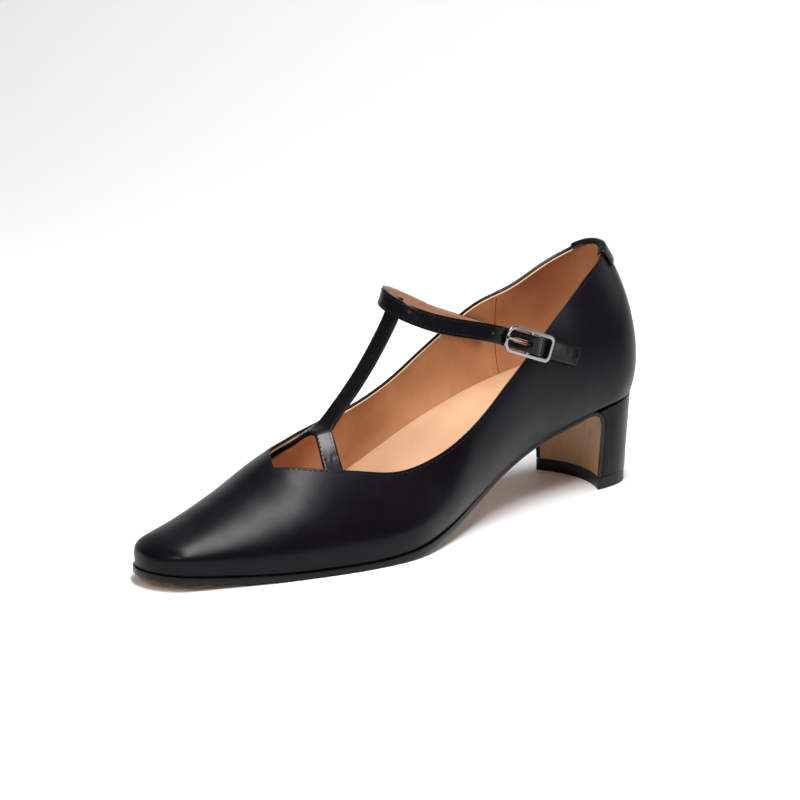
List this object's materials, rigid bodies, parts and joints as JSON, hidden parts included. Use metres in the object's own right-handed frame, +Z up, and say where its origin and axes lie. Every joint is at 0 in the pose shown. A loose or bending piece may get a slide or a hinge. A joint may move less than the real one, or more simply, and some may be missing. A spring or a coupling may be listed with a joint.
{
  "type": "t strap shoe",
  "caption": "Pointed pump on a hollow-breasted block heel, with a T bar from the throat to a buckled ankle strap, open and empty.",
  "frame": {"origin": "on the floor, at the middle of the heel's tread", "axes": "+X towards the toe, +Y towards the outer side with the buckle, +Z up"},
  "size_m": [0.2455, 0.0757, 0.102],
  "materials": {
    "upper_leather": "satin",
    "strap_leather": "gloss",
    "sock_lining": "matte",
    "sole_leather": "satin",
    "heel_cover": "satin",
    "top_lift": "matte",
    "buckle_metal": "polished"
  },
  "bodies": {
    "root": {"upper": "upper_leather", "insole": "sock_lining", "outsole": "sole_leather", "heel": "heel_cover", "top_lift": "top_lift", "instep_strap": "strap_leather", "ankle_strap": "strap_leather", "buckle_tab": "strap_leather", "buckle_frame": "buckle_metal", "buckle_prong": "buckle_metal", "back_tab": "strap_leather"}
  },
  "joints": []
}
